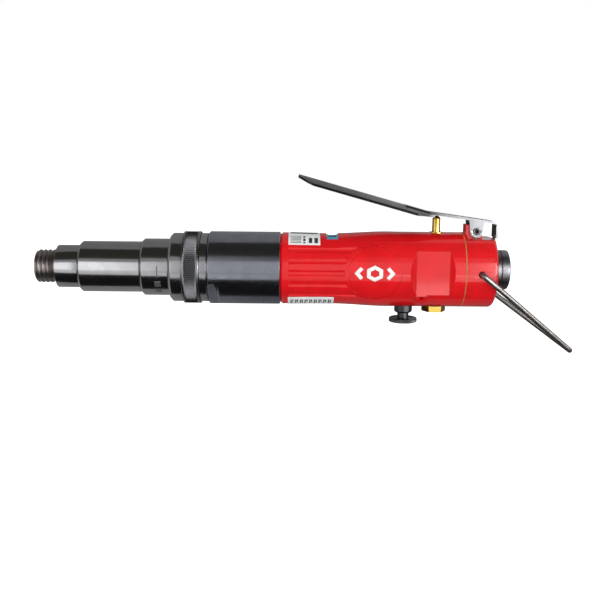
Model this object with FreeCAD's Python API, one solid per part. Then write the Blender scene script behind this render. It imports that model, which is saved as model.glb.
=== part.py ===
import FreeCAD, Part
import math
import os

# Inline lever-start air driver. Millimetres. X runs along the spindle from the nose's
# front face (x = 0) to the air inlet, Z points to the lever, the origin is on the spindle axis.

# ---------------------------------------------------------------- fits
running_gap = 0.05      # radial play of a shaft or pin that turns or slides in its hole
side_gap = 0.1          # end play of a piece held between two shoulders
free_gap = 0.3          # air between pieces that move past each other

# ---------------------------------------------------------------- lengths along the spindle
thread_length = 9.7
relief_length = 1.5
nose_collar_length = 11.9
bit_tube_length = 32.4
marked_collar_length = 14.9
clutch_front_length = 6.9
ring_width = 9.1
retainer_length = 4.2
gear_housing_length = 37.1
motor_housing_length = 94.2
gasket_thickness = 0.5
rear_housing_length = 16.1
inlet_length = 8.2
spigot_length = 8.0     # how far each front piece reaches into the next

# ---------------------------------------------------------------- outer radii
thread_radius = 8.65
relief_radius = 7.9
nose_collar_radius = 11.15
bit_tube_radius = 13.3
marked_collar_radius = 14.9
clutch_radius = 18.0
ring_lip_radius = 18.9
body_radius = 19.65     # red housing, at the valve block
waist_step = 1.15       # red housing, how far it narrows where the hand goes
gear_housing_step = 0.5
inlet_radius = 10.4
waist_radius = body_radius - waist_step
gear_housing_radius = waist_radius + gear_housing_step

# ---------------------------------------------------------------- inner radii and walls
nose_bore = 7.0
nose_spigot = 9.6
bit_tube_bore = 9.0
collar_bore = 11.6
clutch_bore = 13.4
clutch_spigot_wall = 2.0
ring_seat_step = 1.2    # ring's seat stands this far above the rear spigot
clutch_spigot = clutch_bore + clutch_spigot_wall
ring_seat = clutch_spigot + ring_seat_step
waist_wall = 2.25
spigot_wall = 1.15      # motor housing's thin front spigot
gear_housing_wall = 2.3
motor_bore = waist_radius - waist_wall
gear_bore = gear_housing_radius - gear_housing_wall

# ---------------------------------------------------------------- spindle and clutch
hex_across_flats = 6.45
hex_depth = 19.5
spindle_head_radius = 6.0
shaft_radius = 5.0
bit_ball_radius = 1.3
cam_radius = 11.0
cam_thickness = 4.0
clutch_ball_radius = 2.0
clutch_ball_circle = 8.0
clutch_ball_pocket = 0.8
clutch_spring_wire = 0.75
clutch_spring_turns = 2
key_hole_radius = 1.2
window_radius = 2.4

# ---------------------------------------------------------------- gears
module = 0.8
sun_teeth = 12
planet_teeth = 12
ring_teeth = sun_teeth + 2 * planet_teeth
planet_count = 3
pressure_angle = math.radians(20.0)
addendum = 0.62
dedendum = 0.95
backlash = 0.22
planet_width = 10.0
planet_pin_radius = 1.5

# ---------------------------------------------------------------- motor
journal_radius = 4.0
bearing_radius = 9.0
bearing_width = 4.6
plate_thickness = 6.3
plate_web = 1.0
cylinder_wall = 3.35
rotor_clearance = 1.9   # mean air gap between rotor and cylinder
cylinder_bore = motor_bore - cylinder_wall
rotor_radius = cylinder_bore - rotor_clearance
vane_count = 5
vane_thickness = 1.6
vane_slot_depth = 5.4

# ---------------------------------------------------------------- valves
valve_from_seam = 13.0
valve_bore = 5.0
stem_radius = 2.07
stem_travel = 5.2
bush_radius = 3.6
seat_height = 5.0       # shoulder that the valve seal closes against
poppet_radius = 4.2
poppet_thickness = 2.5
valve_spring_wire = 0.45
plug_flats = 11.0
plug_hex_height = 3.3
washer_thickness = 0.5
reverse_from_seam = 29.0
reverse_sleeve_radius = 4.75
reverse_wall = 3.65     # metal between the motor bore's end and the reversing sleeve
reverse_spool_radius = 3.0
reverse_land_radius = 3.55
reverse_travel = 2.0
knob_radius = 7.4
knob_thickness = 2.1

# ---------------------------------------------------------------- lever
pin_from_seam = 6.6     # behind the rear housing's front face
pin_rise = 0.85         # pin centre above the red housing's surface
pin_radius = 1.95
sheet = 1.2             # thickness of the lever's steel sheet
strip_rise = 5.85       # strip centreline above the pin
strip_slope = math.radians(8.05)
grip_slope = math.radians(15.4)
grip_length = 70.1
strip_forward = 24.5    # from the pin forward to the bend
strip_width = 11.0
grip_width = 20.0
grip_crown = 2.2        # the grip's long edges are pressed down this far
lug_width = 8.0
lug_radius = 3.4
ear_radius = 3.3

# ---------------------------------------------------------------- bail
bail_from_seam = 7.5    # behind the rear housing's front face
bail_wire = 1.4         # radius of the wire
bail_reach = 69.2       # from the pivot to the far side of the wire at its tip
bail_angle = math.radians(39.3)
bail_straight = 9.5     # legs run parallel this far, to clear the housing's edge
bail_tip_half = 3.6     # half the width of the loop at its tip
bail_far_droop = 2.4    # how far the far leg is bent below the near one

# ---------------------------------------------------------------- small features
bearing_balls = 8
thread_pitch = 2.4
thread_depth = 0.9
thread_flat = 0.6
flute_count = 5
flute_spacing = math.radians(18.5)
flute_radius = 2.4
flute_depth = 0.5
emblem_from_front = 48.1
emblem_radius = 13.6
emblem_groove = 0.5
pad_from_seam = 16.1
pad_length = 16.8
pad_half_height = 11.2
boss_radius = 3.3
boss_rise = 0.35
boss_hole_radius = 1.4
boss_angle = 41.5       # degrees below the near side
boss_forward = 5.6      # ahead of the pad's middle
slot_from_front = 26.9
slot_width = 6.2
slot_length = 18.0
label_thickness = 0.15
screw_radius = 1.5
screw_inset = 5.05      # screw's centre below the red housing's surface
screw_circle = body_radius - screw_inset
screw_head_radius = 2.8
screw_head_height = 3.0
screw_depth = 9.0
inlet_thread_radius = 5.7
inlet_thread_depth = 12.0
inlet_spigot_radius = 7.6
inlet_spigot_length = 8.0
inlet_bore = 4.5
screen_radius = 5.0
screen_thickness = 0.6

# ---------------------------------------------------------------- stations that follow
thread_end = thread_length
collar_start = thread_end + relief_length
tube_start = collar_start + nose_collar_length
marked_start = tube_start + bit_tube_length
clutch_start = marked_start + marked_collar_length
ring_start = clutch_start + clutch_front_length
ring_end = ring_start + ring_width
gear_start = ring_end + retainer_length
motor_start = gear_start + gear_housing_length
gasket_start = motor_start + motor_housing_length
rear_start = gasket_start + gasket_thickness
rear_end = rear_start + rear_housing_length
inlet_end = rear_end + inlet_length
motor_spigot_start = motor_start - spigot_length
motor_spigot = motor_bore + spigot_wall
clutch_spigot_end = gear_start + spigot_length - 0.2

slot_x = motor_start + slot_from_front
emblem_x = motor_start + emblem_from_front
reverse_x = gasket_start - reverse_from_seam
pad_x = gasket_start - pad_from_seam
valve_x = gasket_start - valve_from_seam
bail_x = rear_start + bail_from_seam
pin_x = rear_start + pin_from_seam
pin_z = body_radius + pin_rise
front_plate_end = motor_spigot_start + plate_thickness
rear_plate_end = reverse_x - reverse_sleeve_radius - reverse_wall
cylinder_end = rear_plate_end - plate_thickness
rotor_start = front_plate_end + free_gap
rotor_end = cylinder_end - free_gap
sun_radius = module * sun_teeth / 2
planet_circle = module * (sun_teeth + planet_teeth) / 2
ring_radius = module * ring_teeth / 2


# ================================================================ shapes used again and again
def vec(x, y, z):
    return FreeCAD.Vector(x, y, z)


def rod(radius, start, end, y=0.0, z=0.0):
    """Solid cylinder along X."""
    return Part.makeCylinder(radius, end - start, vec(start, y, z), vec(1, 0, 0))


def tube(outer, inner, start, end):
    return rod(outer, start, end).cut(rod(inner, start - 1, end + 1))


def post(radius, low, high, x, y=0.0):
    """Solid cylinder along Z."""
    return Part.makeCylinder(radius, high - low, vec(x, y, low), vec(0, 0, 1))


def cross_rod(radius, low, high, x, z=0.0):
    """Solid cylinder along Y."""
    return Part.makeCylinder(radius, high - low, vec(x, low, z), vec(0, 1, 0))


def block(x_range, y_range, z_range):
    size = [x_range[1] - x_range[0], y_range[1] - y_range[0], z_range[1] - z_range[0]]
    return Part.makeBox(size[0], size[1], size[2], vec(x_range[0], y_range[0], z_range[0]))


def turned(points):
    """Solid of revolution about X from the (x, radius) corners of its half section."""
    corners = [vec(x, 0, r) for x, r in points]
    face = Part.Face(Part.makePolygon(corners + [corners[0]]))
    return face.revolve(vec(0, 0, 0), vec(1, 0, 0), 360)


def stepped(start, end, radius, front_chamfer=0.0, rear_chamfer=0.0):
    """Cylinder along X with turned chamfers."""
    return turned([(start, 0), (start, radius - front_chamfer), (start + front_chamfer, radius),
                   (end - rear_chamfer, radius), (end, radius - rear_chamfer), (end, 0)])


def prism_x(points, start, end):
    """Prism along X from (y, z) points."""
    corners = [vec(start, y, z) for y, z in points]
    return Part.Face(Part.makePolygon(corners + [corners[0]])).extrude(vec(end - start, 0, 0))


def prism_z(points, low, high):
    """Prism along Z from (x, y) points."""
    corners = [vec(x, y, low) for x, y in points]
    return Part.Face(Part.makePolygon(corners + [corners[0]])).extrude(vec(0, 0, high - low))


def hexagon(across_flats):
    """Corners of a hexagon with two flats facing up and down."""
    corner = across_flats / math.sqrt(3)
    angles = [math.radians(60 * i) for i in range(6)]
    return [(corner * math.cos(a), corner * math.sin(a)) for a in angles]


def turn(shape, degrees, x=0.0, y=0.0, z=0.0, axis=(1, 0, 0)):
    """Copy of a shape turned about a line along X, or along the axis given."""
    copy = shape.copy()
    copy.rotate(vec(x, y, z), vec(*axis), degrees)
    return copy


def ring_of(shape, count, first=0.0):
    """Copies of a shape spread evenly about the spindle axis."""
    return [turn(shape, first + 360.0 * i / count) for i in range(count)]


def doughnut(mean_radius, wire_radius, x, y=0.0, z=0.0, axis=(1, 0, 0)):
    return Part.makeTorus(mean_radius, wire_radius, vec(x, y, z), vec(*axis))


def coil(mean_radius, wire_radius, turns, length, place, axis):
    """Compression spring between two seats, its wire just inside the given length."""
    rise = length - 2 * wire_radius
    helix = Part.makeHelix(rise / turns, rise, mean_radius)
    section = Part.Wire(Part.makeCircle(wire_radius, vec(mean_radius, 0, 0), vec(0, 1, 0)))
    spring = Part.Wire(helix.Edges).makePipeShell([section], True, True)
    spring.translate(vec(0, 0, wire_radius))
    if axis == "x":
        spring.rotate(vec(0, 0, 0), vec(0, 1, 0), 90)
    spring.translate(place)
    return spring


def involute(angle):
    return math.tan(angle) - angle


def gear_outline(teeth, tip, root, play):
    """Outline of a spur gear about X: involute flanks, straight below the base circle.

    play is the width taken off each tooth on the pitch circle; a negative play widens it.
    """
    pitch = module * teeth / 2
    base = pitch * math.cos(pressure_angle)
    half_pitch_angle = math.pi / 2 / teeth - play / 2 / pitch + involute(pressure_angle)
    flank = [root, max(root, base), (max(root, base) + pitch) / 2, pitch, (pitch + tip) / 2, tip]
    points = []
    for tooth in range(teeth):
        centre = 2 * math.pi * tooth / teeth
        side = []
        for radius in flank:
            reach = involute(math.acos(min(1.0, base / max(radius, base))))
            undercut = 0.1 * (base - radius) / base if radius < base else 0.0
            side.append((radius, half_pitch_angle - reach - undercut))
        if root >= base:
            side = side[1:]
        points += [(r * math.sin(centre - a), r * math.cos(centre - a)) for r, a in side]
        points += [(r * math.sin(centre + a), r * math.cos(centre + a)) for r, a in reversed(side)]
    return points


# ================================================================ front housings
def make_nose_piece():
    nose = turned([(0, 0), (0, thread_radius - 0.9), (0.9, thread_radius), (thread_end, thread_radius),
                   (thread_end, relief_radius), (collar_start, relief_radius), (collar_start, 0)])
    groove_half = (thread_pitch - thread_flat) / 2
    crests = int((thread_end - 1.2) / thread_pitch)
    for i in range(crests):
        middle = 0.9 + thread_flat + groove_half + i * thread_pitch
        nose = nose.cut(turned([(middle - groove_half, thread_radius), (middle, thread_radius - thread_depth),
                                (middle + groove_half, thread_radius),
                                (middle + groove_half, thread_radius + 1),
                                (middle - groove_half, thread_radius + 1)]))
    nose = nose.fuse(stepped(collar_start, tube_start, nose_collar_radius, 0.5, 0.4))
    nose = nose.fuse(rod(nose_spigot, tube_start, tube_start + spigot_length))
    return nose.cut(rod(nose_bore, -1, tube_start + spigot_length + 1)).removeSplitter()


def make_bit_tube():
    body = stepped(tube_start, marked_start, bit_tube_radius, 1.3, 0.3)
    body = body.fuse(rod(collar_bore, marked_start, marked_start + spigot_length - 1))
    body = body.cut(rod(nose_spigot, tube_start - 1, tube_start + spigot_length))
    return body.cut(rod(bit_tube_bore, tube_start, marked_start + spigot_length))


def make_marked_collar():
    body = stepped(marked_start, clutch_start, marked_collar_radius, 1.2, 0.3)
    body = body.fuse(rod(clutch_bore, clutch_start, clutch_start + spigot_length - 2))
    return body.cut(rod(collar_bore, marked_start - 1, clutch_start + spigot_length))


def make_clutch_housing():
    body = stepped(clutch_start, ring_start, clutch_radius, 1.5, 0.25)
    body = body.fuse(rod(ring_seat, ring_start, ring_end))
    body = body.fuse(rod(clutch_spigot, ring_end, clutch_spigot_end))
    body = body.cut(rod(clutch_bore, clutch_start - 1, clutch_spigot_end + 1))
    window_x = (ring_start + ring_end) / 2
    return body.cut(post(window_radius, -ring_seat - 1, 0, window_x))


def make_adjusting_ring():
    """Cover ring: its hole stands over the housing's window only when it is turned there."""
    start = ring_start + side_gap
    end = ring_end - side_gap
    lip = 1.1
    body = stepped(start, end, ring_lip_radius, 0.35, 0.35)
    body = body.cut(tube(ring_lip_radius + 1, ring_lip_radius - 0.25, start + lip, end - lip))
    body = body.cut(rod(ring_seat + running_gap, start - 1, end + 1))
    return body.cut(cross_rod(window_radius, 0, ring_lip_radius + 1, (start + end) / 2))


def make_ring_retainer():
    body = stepped(ring_end, gear_start - 0.25, clutch_radius, 0.25, 0.4)
    return body.cut(rod(clutch_spigot, ring_end - 1, gear_start + 1))


def make_gear_housing():
    body = stepped(gear_start, motor_start, gear_housing_radius, 0.6, 0.4)
    body = body.cut(rod(clutch_spigot, gear_start - 1, gear_start + spigot_length))
    body = body.cut(rod(gear_bore, gear_start + spigot_length - 0.2, motor_spigot_start))
    body = body.cut(rod(motor_spigot, motor_spigot_start, motor_start + 1))
    flat_end = gear_start + 5.1
    flat_height = gear_housing_radius - 2.0
    for side in (-45, 135):
        cutter = block((gear_start - 1, flat_end), (-20, 20), (-flat_height - 5, -flat_height))
        run_out = cross_rod(3.0, -20, 20, flat_end - 1.8, -flat_height - 3.0)
        body = body.cut(turn(cutter.fuse(run_out), side))
    return body


# ================================================================ spindle, clutch and gears
def make_nose_bush():
    return tube(nose_bore, spindle_head_radius + running_gap, collar_start, tube_start)


def make_spindle_bush():
    start = marked_start - spigot_length + 2
    return tube(bit_tube_bore, shaft_radius + running_gap, start, start + 10)


spindle_front = 3.0
spindle_head_end = spindle_front + 27.0
ball_x = spindle_front + 5.0
cam_start = marked_start + spigot_length - 0.5
ball_gap = 2 * (clutch_ball_radius - clutch_ball_pocket)
driving_start = cam_start + cam_thickness + ball_gap
spring_start = driving_start + 3.0
seat_start = ring_start + 1.6
nut_start = seat_start + 1.0
shaft_start = cam_start + 3.0


def bit_ball_height():
    return hex_across_flats / 2 - 0.45 + bit_ball_radius


def make_spindle():
    body = turned([(spindle_front, 0), (spindle_front, spindle_head_radius - 0.6),
                   (spindle_front + 0.6, spindle_head_radius), (spindle_head_end, spindle_head_radius),
                   (spindle_head_end, shaft_radius), (shaft_start, shaft_radius), (shaft_start, 0)])
    body = body.cut(prism_x(hexagon(hex_across_flats), spindle_front - 1, spindle_front + hex_depth))
    body = body.cut(post(bit_ball_radius + 0.05, 0, spindle_head_radius + 1, ball_x))
    groove = tube(spindle_head_radius + 1, spindle_head_radius - 0.6, ball_x - 0.9, ball_x + 0.9)
    return body.cut(groove)


def make_bit_ball():
    return Part.makeSphere(bit_ball_radius, vec(ball_x, 0, bit_ball_height()))


def make_bit_ring():
    """Split spring ring that keeps the ball in the bit's groove."""
    ring = tube(spindle_head_radius + 0.2, spindle_head_radius - 0.6, ball_x - 0.8, ball_x + 0.8)
    return ring.cut(block((ball_x - 2, ball_x + 2), (-0.8, 0.8), (-10, 0)))


def clutch_ball_set(radius):
    ball = Part.makeSphere(radius, vec(cam_start + cam_thickness + ball_gap / 2, 0, clutch_ball_circle))
    return ring_of(ball, 3)


def make_driven_cam():
    cam = stepped(cam_start, cam_start + cam_thickness, cam_radius, 0.5, 0.2)
    cam = cam.cut(rod(shaft_radius, cam_start - 1, cam_start + cam_thickness + 1))
    return cam.cut(Part.makeCompound(clutch_ball_set(clutch_ball_radius)))


def make_driving_cam():
    cam = stepped(driving_start, spring_start, cam_radius, 0.2, 0.5)
    cam = cam.cut(rod(shaft_radius, driving_start - 1, spring_start + 1))
    return cam.cut(Part.makeCompound(clutch_ball_set(clutch_ball_radius)))


def make_clutch_spring():
    return coil(clutch_ball_circle, clutch_spring_wire, clutch_spring_turns, seat_start - spring_start,
                vec(spring_start, 0, 0), "x")


def make_spring_seat():
    return tube(cam_radius - 0.5, shaft_radius, seat_start, nut_start)


def make_adjusting_nut():
    nut_length = 5.0
    nut = stepped(nut_start, nut_start + nut_length, cam_radius + 0.6, 0.4, 0.4)
    nut = nut.cut(rod(shaft_radius, nut_start - 1, nut_start + nut_length + 1))
    key_hole = post(key_hole_radius, cam_radius - 3, cam_radius + 2, nut_start + nut_length / 2)
    for hole in ring_of(key_hole, 4, 45):
        nut = nut.cut(hole)
    return nut


carrier_start = clutch_spigot_end + free_gap + 0.2
carrier_end = carrier_start + 4.0
planet_start = carrier_end + 0.6
planet_end = planet_start + planet_width


def make_carrier_bush():
    return tube(clutch_bore, shaft_radius + running_gap, gear_start + 0.5, clutch_spigot_end - 0.5)


def make_planet_carrier():
    body = rod(shaft_radius, shaft_start, carrier_start)
    flange = stepped(carrier_start, carrier_end, ring_radius - addendum - 0.5, 0.4, 0.4)
    body = body.fuse(flange)
    pin_hole = rod(planet_pin_radius, carrier_start - 1, carrier_end + 1, 0, planet_circle)
    for hole in ring_of(pin_hole, planet_count):
        body = body.cut(hole)
    return body


def make_planet_pins():
    pin = rod(planet_pin_radius, carrier_start + 0.4, planet_end + 0.6, 0, planet_circle)
    return Part.makeCompound(ring_of(pin, planet_count))


def make_planet_gear(index):
    outline = gear_outline(planet_teeth, sun_radius + addendum, sun_radius - dedendum, backlash)
    gear = prism_x(outline, planet_start, planet_end)
    gear = turn(gear, 180.0 / planet_teeth)
    gear = gear.cut(rod(planet_pin_radius + running_gap, planet_start - 1, planet_end + 1))
    gear.translate(vec(0, 0, planet_circle))
    return turn(gear, 360.0 * index / planet_count)


def make_ring_gear():
    start = carrier_start + 0.2
    outline = gear_outline(ring_teeth, ring_radius + dedendum, ring_radius - addendum, -backlash)
    body = rod(gear_bore, start, motor_spigot_start)
    cutter = turn(prism_x(outline, start - 1, motor_spigot_start + 1), 180.0 / ring_teeth)
    return body.cut(cutter)


# ================================================================ bearings and motor
def bearing_parts(start, bore, outside):
    """Outer race, inner race and balls; the balls sit in the outer race with play to the inner."""
    end = start + bearing_width
    middle = (start + end) / 2
    land = (outside - bore) * 0.3
    circle = (outside + bore) / 2
    ball = (outside - bore) * 0.29
    outer = tube(outside, outside - land, start, end)
    inner = tube(bore + land, bore, start, end)
    outer = outer.cut(doughnut(circle, ball, middle))
    inner = inner.cut(doughnut(circle, ball + running_gap, middle))
    balls = ring_of(Part.makeSphere(ball, vec(middle, 0, circle)), bearing_balls)
    return {"outer": outer, "inner": inner, "balls": Part.makeCompound(balls)}


front_bearing_start = motor_spigot_start + 0.5
rear_bearing_start = cylinder_end + plate_web + 0.3


def make_front_end_plate():
    plate = stepped(motor_spigot_start, front_plate_end, motor_bore, 0.3, 0.2)
    pocket_end = front_plate_end - plate_web
    plate = plate.cut(rod(bearing_radius, motor_spigot_start - 1, pocket_end))
    return plate.cut(rod(journal_radius + free_gap, pocket_end - 1, front_plate_end + 1))


def make_rear_end_plate():
    plate = stepped(cylinder_end, rear_plate_end, motor_bore, 0.2, 0.3)
    pocket_start = cylinder_end + plate_web
    plate = plate.cut(rod(bearing_radius, pocket_start, rear_plate_end + 1))
    plate = plate.cut(rod(journal_radius + free_gap, cylinder_end - 1, pocket_start + 1))
    for y in (-4, 4):
        plate = plate.cut(rod(1.2, cylinder_end - 1, rear_plate_end + 1, y, bearing_radius + 2.6))
    return plate


def make_motor_cylinder():
    """The bore is set off the rotor's axis, so the chambers grow and shrink as it turns."""
    offset = cylinder_bore - rotor_radius - free_gap
    body = rod(motor_bore, front_plate_end, cylinder_end)
    body = body.cut(rod(cylinder_bore, front_plate_end - 1, cylinder_end + 1, 0, -offset))
    port_spacing = 4.0
    for i in (-1, 0, 1):
        for y in (-port_spacing, 0, port_spacing):
            x = slot_x + i * 1.9
            body = body.cut(post(0.8, 0, motor_bore + 1, x, y))
    return body


def make_rotor():
    outline = gear_outline(sun_teeth, sun_radius + addendum, sun_radius - dedendum, backlash)
    pinion = prism_x(outline, carrier_end + 0.8, planet_end + 0.8)
    body = pinion.fuse(rod(journal_radius - 0.3, planet_end, front_bearing_start))
    body = body.fuse(rod(journal_radius, front_bearing_start, rear_bearing_start + bearing_width))
    body = body.fuse(stepped(rotor_start, rotor_end, rotor_radius, 0.3, 0.3))
    slot = block((rotor_start - 1, rotor_end + 1), (-vane_thickness / 2, vane_thickness / 2),
                 (rotor_radius - vane_slot_depth, rotor_radius + 1))
    for cutter in ring_of(slot, vane_count):
        body = body.cut(cutter)
    return body


def make_rotor_vanes():
    """Vanes drawn fully back into their slots."""
    vane = block((rotor_start + 0.2, rotor_end - 0.2), (-vane_thickness / 2, vane_thickness / 2),
                 (rotor_radius - vane_slot_depth, rotor_radius - 0.4))
    return Part.makeCompound(ring_of(vane, vane_count))


# ================================================================ red housings
def housing_skin(extra=0.0):
    """Outer shape of the red motor housing, grown by a given amount."""
    waist_x = motor_start + 20
    swell_x = motor_start + 50
    profile = [(motor_start + 1.4, gear_housing_radius - 0.2), (motor_start + 10, waist_radius + 0.1),
               (waist_x, waist_radius), (motor_start + 35, (waist_radius * 3 + body_radius) / 4),
               (swell_x, body_radius - 0.05), (swell_x + 10, body_radius), (gasket_start, body_radius)]
    curve = Part.BSplineCurve()
    curve.interpolate([vec(x, 0, r + extra) for x, r in profile[:-1]])
    first = profile[0]
    last = profile[-2]
    edges = [
        Part.makeLine(vec(motor_start, 0, 0), vec(motor_start, 0, first[1] - 1.2 + extra)),
        Part.makeLine(vec(motor_start, 0, first[1] - 1.2 + extra), vec(first[0], 0, first[1] + extra)),
        curve.toShape(),
        Part.makeLine(vec(last[0], 0, last[1] + extra), vec(gasket_start, 0, body_radius + extra)),
        Part.makeLine(vec(gasket_start, 0, body_radius + extra), vec(gasket_start, 0, 0)),
        Part.makeLine(vec(gasket_start, 0, 0), vec(motor_start, 0, 0)),
    ]
    face = Part.Face(Part.Wire(edges))
    return face.revolve(vec(0, 0, 0), vec(1, 0, 0), 360)


def flute_cutters():
    """Shallow grip flutes on both sides, ending in an arc round the emblem."""
    start = motor_start + 4.3
    cutters = []
    stop = cross_rod(emblem_radius + 1.8, -30, 30, emblem_x)
    for side in (-1, 1):
        for i in range(flute_count):
            angle = (i - (flute_count - 1) / 2) * flute_spacing
            reach = waist_radius - flute_depth + flute_radius
            y = side * reach * math.cos(angle)
            z = reach * math.sin(angle)
            cutters.append(rod(flute_radius, start, emblem_x, y, z).cut(stop))
    return cutters


def pad_cutter(side):
    """Flat recess on the side of the valve block, with sloping ends."""
    depth = body_radius - math.sqrt(body_radius ** 2 - pad_half_height ** 2)
    flat = body_radius - depth
    half = pad_length / 2
    outline = [(pad_x - half, flat), (pad_x + half, flat), (pad_x + half + 2.3 + 1.4, body_radius + 2),
               (pad_x - half - 3.6 - 2.0, body_radius + 2)]
    return prism_z([(x, side * y) for x, y in outline], -20, 20)


def screw_places():
    angles = [math.radians(45 + 90 * i) for i in range(4)]
    return [(screw_circle * math.cos(a), screw_circle * math.sin(a)) for a in angles]


plug_face = -(body_radius - 1.25)       # spot face that the valve plug seats on
sleeve_low = -(body_radius + 3.45)      # lower end of the reversing sleeve
sleeve_high = -(body_radius - 9.6)
knob_high = sleeve_low - reverse_travel - free_gap - 0.6
inlet_passage_z = -2.4
inlet_passage_radius = 2.2


def boss_rod(radius, low, high):
    """Solid cylinder that points out of the red housing below the pad."""
    shape = rod(radius, low, high)
    shape.rotate(vec(0, 0, 0), vec(0, 0, 1), -90)
    shape.rotate(vec(0, 0, 0), vec(1, 0, 0), boss_angle)
    shape.translate(vec(pad_x - boss_forward, 0, 0))
    return shape


def make_motor_housing():
    body = housing_skin()
    body = body.fuse(rod(motor_spigot, motor_spigot_start, motor_start + 1))
    body = body.fuse(boss_rod(boss_radius, body_radius - 4, body_radius + boss_rise))
    body = body.cut(rod(motor_bore, motor_spigot_start - 1, rear_plate_end))
    for cutter in flute_cutters():
        body = body.cut(cutter)
    groove = cross_rod(emblem_radius + emblem_groove / 2, -30, 30, emblem_x)
    groove = groove.cut(cross_rod(emblem_radius - emblem_groove / 2, -30, 30, emblem_x))
    body = body.cut(groove.cut(housing_skin(-0.35)))
    for side in (-1, 1):
        body = body.cut(pad_cutter(side))
    body = body.cut(boss_rod(boss_hole_radius, body_radius - 4, body_radius + 2))
    body = body.cut(exhaust_slot())
    body = body.cut(post(valve_bore, -body_radius - 1, seat_height, valve_x))
    body = body.cut(post(bush_radius, 0, body_radius + 1, valve_x))
    body = body.cut(post(7.6, -body_radius - 2, plug_face, valve_x))
    body = body.cut(post(reverse_sleeve_radius, -body_radius - 1, sleeve_high, reverse_x))
    body = body.cut(post(bush_radius, sleeve_high - 1, 14, reverse_x))
    body = body.cut(rod(inlet_passage_radius, valve_x, gasket_start + 1, 0, inlet_passage_z))
    body = body.cut(rod(1.6, reverse_x, valve_x, 0, seat_height + 2))
    for y in (-4, 4):
        body = body.cut(rod(1.2, rear_plate_end - 1, reverse_x, y * 0.6, bearing_radius + 2.6))
    for y, z in screw_places():
        body = body.cut(rod(screw_radius, gasket_start - screw_depth, gasket_start + 1, y, z))
    return body


def exhaust_slot():
    half = slot_width / 2
    return block((slot_x - half, slot_x + half), (-slot_length / 2, slot_length / 2), (8, 30))


def slot_strip(outer, start, end, y_low, y_high):
    """Curved strip that lies in the exhaust slot on the motor cylinder."""
    ring = tube(outer, motor_bore, start, end)
    return ring.common(block((start, end), (y_low, y_high), (5, 30)))


def make_exhaust_screen():
    """Pierced strip that covers the exhaust ports."""
    half = slot_width / 2
    strip = slot_strip(motor_bore + 0.7, slot_x - half, slot_x + half, -slot_length / 2, slot_length / 2)
    for i in (-1, 0, 1):
        for y in (-6, -4, -2, 0, 2, 4, 6):
            strip = strip.cut(post(0.55, 10, 20, slot_x + i * 1.9, y))
    return strip


def make_exhaust_insert():
    """Clip that frames the slot above the screen."""
    half = slot_width / 2
    outer = motor_bore + 1.6
    strip = tube(outer, motor_bore + 0.7, slot_x - half, slot_x + half)
    strip = strip.common(block((slot_x - half, slot_x + half), (-slot_length / 2 + 2.2, slot_length / 2 - 2.2),
                               (5, 30)))
    opening = block((slot_x - half + 1.2, slot_x + half - 1.2), (-slot_length / 2 + 4, slot_length / 2 - 4),
                    (5, 30))
    return strip.cut(opening)


def label(start, end, low_angle, high_angle):
    """Thin plate wrapped on the red housing between two angles above the near side."""
    skin = housing_skin(label_thickness).cut(housing_skin())
    reach = 2 * body_radius
    corners = [(0.0, 0.0)]
    steps = 6
    for i in range(steps + 1):
        angle = math.radians(low_angle + (high_angle - low_angle) * i / steps)
        corners.append((-reach * math.cos(angle), reach * math.sin(angle)))
    return skin.common(prism_x(corners, start, end))


def make_seam_gasket():
    body = rod(body_radius + 0.05, gasket_start, rear_start)
    body = body.cut(rod(inlet_passage_radius, gasket_start - 1, rear_start + 1, 0, inlet_passage_z))
    for y, z in screw_places():
        body = body.cut(rod(screw_radius, gasket_start - 1, rear_start + 1, y, z))
    return body


lug_start = rear_start + 1.3
flat_height = body_radius - 2.95        # flat under the lever's hinge


def make_lug():
    """Upright on the rear housing that the lever's pin runs through, rounded at the rear."""
    low = flat_height - 2
    high = pin_z + lug_radius
    back = pin_x + lug_radius
    diagonal = lug_radius * math.sqrt(0.5)
    y = -lug_width / 2
    edges = [
        Part.makeLine(vec(lug_start, y, low), vec(lug_start, y, high)),
        Part.makeLine(vec(lug_start, y, high), vec(pin_x, y, high)),
        Part.Arc(vec(pin_x, y, high), vec(pin_x + diagonal, y, pin_z + diagonal), vec(back, y, pin_z)).toShape(),
        Part.makeLine(vec(back, y, pin_z), vec(back, y, low)),
        Part.makeLine(vec(back, y, low), vec(lug_start, y, low)),
    ]
    return Part.Face(Part.Wire(edges)).extrude(vec(0, lug_width, 0))


def make_rear_housing():
    edge = 2.0
    steps = 5
    points = [(rear_start, 0), (rear_start, body_radius)]
    for i in range(steps + 1):
        angle = math.pi / 2 * i / steps
        points.append((rear_end - edge + edge * math.sin(angle), body_radius - edge + edge * math.cos(angle)))
    body = turned(points + [(rear_end, 0)])
    body = body.cut(block((lug_start, rear_end + 1), (-20, 20), (flat_height, body_radius + 1)))
    body = body.fuse(make_lug())
    body = body.cut(cross_rod(pin_radius + running_gap, -10, 10, pin_x, pin_z))
    body = body.cut(rod(inlet_spigot_radius, rear_end - inlet_spigot_length, rear_end + 1))
    body = body.cut(rod(inlet_bore, rear_start + 1, rear_end))
    body = body.cut(rod(inlet_passage_radius, rear_start - 1, rear_start + 2, 0, inlet_passage_z))
    for side in (-1, 1):
        low = min(side * (body_radius - 4.5), side * (body_radius + 2))
        high = max(side * (body_radius - 4.5), side * (body_radius + 2))
        body = body.cut(cross_rod(bail_wire + 0.35, low, high, bail_x))
    for y, z in screw_places():
        body = body.cut(rod(screw_radius, rear_start - 1, rear_end, y, z))
        body = body.cut(rod(screw_head_radius, rear_end - screw_head_height - 0.4, rear_end + 1, y, z))
    return body


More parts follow.
